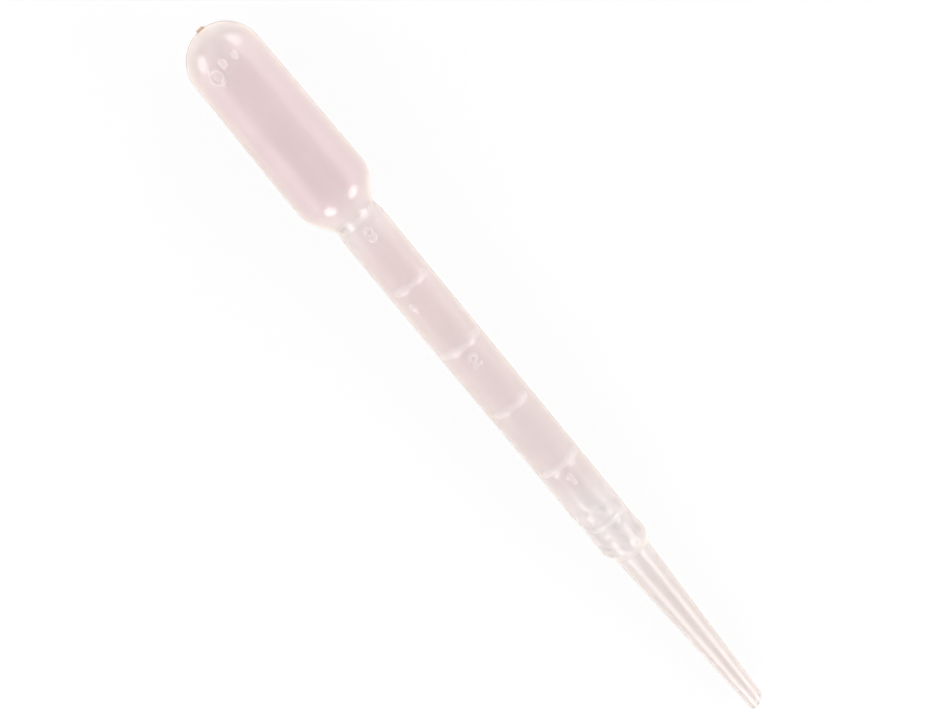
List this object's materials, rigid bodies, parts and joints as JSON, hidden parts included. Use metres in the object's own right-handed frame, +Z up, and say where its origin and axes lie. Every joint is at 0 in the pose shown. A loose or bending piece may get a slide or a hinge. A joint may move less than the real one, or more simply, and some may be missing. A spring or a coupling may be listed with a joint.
{
  "type": "plastic dropper pipette",
  "caption": "One-piece blow-moulded dropper pipette with a squeeze bulb, a narrow neck, a graduated hollow stem and a thin tapered tip.",
  "frame": {"origin": "middle of the footprint of the pipette as it lies on its side, on the surface that it lies on", "axes": "+X runs along the pipette toward the cut end of the tip and -X toward the bulb, +Z is up and the graduation faces it, +Y is across"},
  "size_m": [0.1554, 0.0136, 0.014],
  "materials": {
    "polyethylene": "soft translucent low-density polyethylene, slightly hazy, with a satin gloss"
  },
  "bodies": {
    "root": {"pipette": "polyethylene"}
  },
  "joints": []
}
